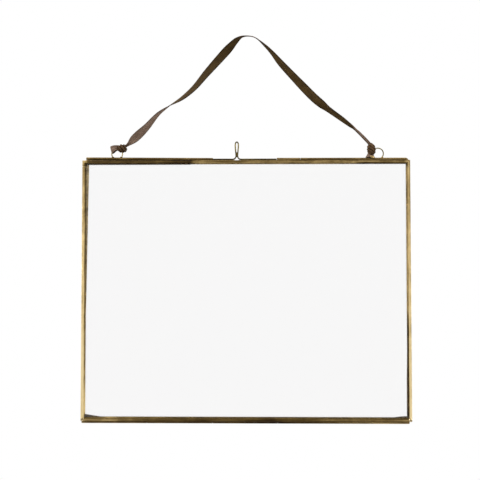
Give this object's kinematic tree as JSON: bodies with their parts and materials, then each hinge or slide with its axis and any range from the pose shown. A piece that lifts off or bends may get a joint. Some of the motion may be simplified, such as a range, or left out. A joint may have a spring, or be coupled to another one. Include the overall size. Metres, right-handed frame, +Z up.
{
  "type": "hinged glass floating picture frame",
  "caption": "Double-glass picture frame edged in brass channel, hinged at the bottom, with a sliding wire bolt on top and a hanging ribbon.",
  "frame": {"origin": "under the middle of the bottom hinge barrel, in the plane between the two closed panels", "axes": "+X to the right, +Y to the back and the wall, +Z up; the front pane faces -Y"},
  "size_m": [0.262, 0.0068, 0.3107],
  "materials": {
    "brass_channel": "antiqued brass, hand rubbed, with brown patina",
    "brass_barrel": "antiqued brass, darker brown patina",
    "brass_wire": "drawn brass wire, lightly tarnished",
    "pane": "clear float glass",
    "ribbon": "brown woven ribbon with fine crosswise ribs"
  },
  "bodies": {
    "back_panel": {"back_top_channel": "brass_channel", "back_bottom_channel": "brass_channel", "back_left_channel": "brass_channel", "back_right_channel": "brass_channel", "back_glass": "pane", "back_hinge_knuckle_1": "brass_barrel", "back_hinge_knuckle_2": "brass_barrel", "back_hinge_knuckle_3": "brass_barrel", "hinge_pin": "brass_barrel", "left_bolt_barrel": "brass_barrel", "right_bolt_barrel": "brass_barrel", "left_ring": "brass_wire", "right_ring": "brass_wire", "left_ribbon_knot": "ribbon", "right_ribbon_knot": "ribbon"},
    "front_panel": {"front_top_channel": "brass_channel", "front_bottom_channel": "brass_channel", "front_left_channel": "brass_channel", "front_right_channel": "brass_channel", "front_glass": "pane", "front_hinge_knuckle_1": "brass_barrel", "front_hinge_knuckle_2": "brass_barrel", "keeper_barrel": "brass_barrel"},
    "bolt": {"latch_wire": "brass_wire"},
    "ribbon": {"ribbon_span": "ribbon"}
  },
  "joints": [
    {"name": "front_panel_hinge", "type": "hinge", "parent": "back_panel", "child": "front_panel", "pos_m": [0, 0, 0.0011], "axis": [1, 0, 0], "range_deg": [0, 180]},
    {"name": "bolt_slide", "type": "slide", "parent": "back_panel", "child": "bolt", "axis": [1, 0, 0], "range_m": [-0.015, 0.027]},
    {"name": "ribbon_swing", "type": "hinge", "parent": "back_panel", "child": "ribbon", "pos_m": [0, 0, 0.22105], "axis": [1, 0, 0], "range_deg": [-90, 90]}
  ]
}
